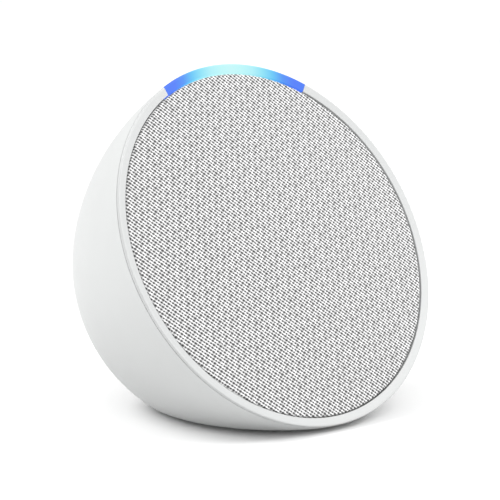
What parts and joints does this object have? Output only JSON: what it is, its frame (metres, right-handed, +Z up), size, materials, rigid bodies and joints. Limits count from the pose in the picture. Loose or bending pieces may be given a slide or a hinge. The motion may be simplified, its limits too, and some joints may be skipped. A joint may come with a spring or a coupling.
{
  "type": "smart speaker",
  "caption": "Small half-dome tabletop smart speaker: leaning round cloth grille in a thin bezel, lit bar along its top, push keys behind it, power inlet low at the back.",
  "frame": {"origin": "on the table, under the middle of the speaker's bounding box", "axes": "+Z up, -Y out of the grille towards the listener, +X to the right as seen from behind the listener looking at the grille; the face axis leans back 25.7 degrees from level"},
  "size_m": [0.099, 0.083, 0.091],
  "materials": {
    "shell_plastic": "fine satin texture",
    "bezel_plastic": "satin",
    "key_plastic": "fine satin texture",
    "light_diffuser": "translucent diffuser, lit blue",
    "grille_plastic": "moulded",
    "grille_fabric": "fine two-tone acoustic knit",
    "circuit_board": "solder mask",
    "white_package": "moulded",
    "black_package": "moulded epoxy",
    "inner_plastic": "moulded",
    "foam": "closed-cell foam",
    "thermal_silicone": "soft pad",
    "rubber_black": "moulded rubber",
    "foot_rubber": "moulded rubber, matt",
    "paper_cone": "pressed paper",
    "spider_cloth": "resin-treated cloth",
    "kapton": "polyimide film",
    "copper_wire": "enamelled copper winding",
    "screw_steel": "blackened steel",
    "pressed_steel": "zinc-plated",
    "ferrite": "ground ceramic magnet",
    "heat_aluminium": "bright",
    "contact_brass": "plated",
    "lead_insulation": "insulation"
  },
  "bodies": {
    "casing": {"rear_shell": "shell_plastic", "front_bezel": "bezel_plastic", "light_bar_lens": "light_diffuser", "grille_frame": "grille_plastic", "grille_cloth": "grille_fabric", "led_board": "circuit_board", "leds": "white_package", "led_connector": "white_package", "speaker_baffle": "inner_plastic", "speaker_enclosure": "inner_plastic", "enclosure_gasket": "foam", "enclosure_screws": "screw_steel", "baffle_screws": "screw_steel", "driver_screws": "screw_steel", "driver_basket": "pressed_steel", "driver_gasket": "foam", "surround": "rubber_black", "surround_ring": "paper_cone", "spider": "spider_cloth", "top_plate": "pressed_steel", "magnet": "ferrite", "pole_yoke": "pressed_steel", "driver_terminals": "contact_brass", "tact_switches": "pressed_steel", "button_board": "circuit_board", "button_board_screws": "screw_steel", "button_connector": "white_package", "microphones": "black_package", "mic_gaskets": "foam", "main_board": "circuit_board", "main_board_screws": "screw_steel", "processor": "black_package", "memory_chip": "black_package", "thermal_pad": "thermal_silicone", "shield_can": "pressed_steel", "heat_spreader": "heat_aluminium", "audio_amplifier": "black_package", "wireless_module": "pressed_steel", "power_inductors": "black_package", "capacitors": "heat_aluminium", "wifi_antenna": "pressed_steel", "board_connectors": "white_package", "speaker_leads": "lead_insulation", "lead_grommet": "rubber_black", "light_bar_flex": "kapton", "button_flex": "kapton", "dc_jack": "black_package", "dc_jack_pin": "contact_brass", "rubber_foot": "foot_rubber"},
    "driver_cone": {"cone": "paper_cone", "dust_cap": "paper_cone", "coil_former": "kapton", "voice_coil": "copper_wire"},
    "volume_down_key": {"button_volume_down": "key_plastic", "plunger_volume_down": "black_package"},
    "mic_mute_key": {"button_mic_mute": "key_plastic", "plunger_mic_mute": "black_package"},
    "volume_up_key": {"button_volume_up": "key_plastic", "plunger_volume_up": "black_package"}
  },
  "joints": [
    {"name": "volume_down_press", "type": "slide", "parent": "casing", "child": "volume_down_key", "axis": [0, -0.5862, -0.8102], "range_m": [0, 0.0004], "stiffness_N_per_m": 1500},
    {"name": "mic_mute_press", "type": "slide", "parent": "casing", "child": "mic_mute_key", "axis": [0, -0.5862, -0.8102], "range_m": [0, 0.0004], "stiffness_N_per_m": 1500},
    {"name": "volume_up_press", "type": "slide", "parent": "casing", "child": "volume_up_key", "axis": [0, -0.5862, -0.8102], "range_m": [0, 0.0004], "stiffness_N_per_m": 1500},
    {"name": "cone_slide", "type": "slide", "parent": "casing", "child": "driver_cone", "axis": [0, -0.9011, 0.4337], "range_m": [-0.002, 0.002], "stiffness_N_per_m": 900, "deforming": ["surround", "spider"]}
  ]
}
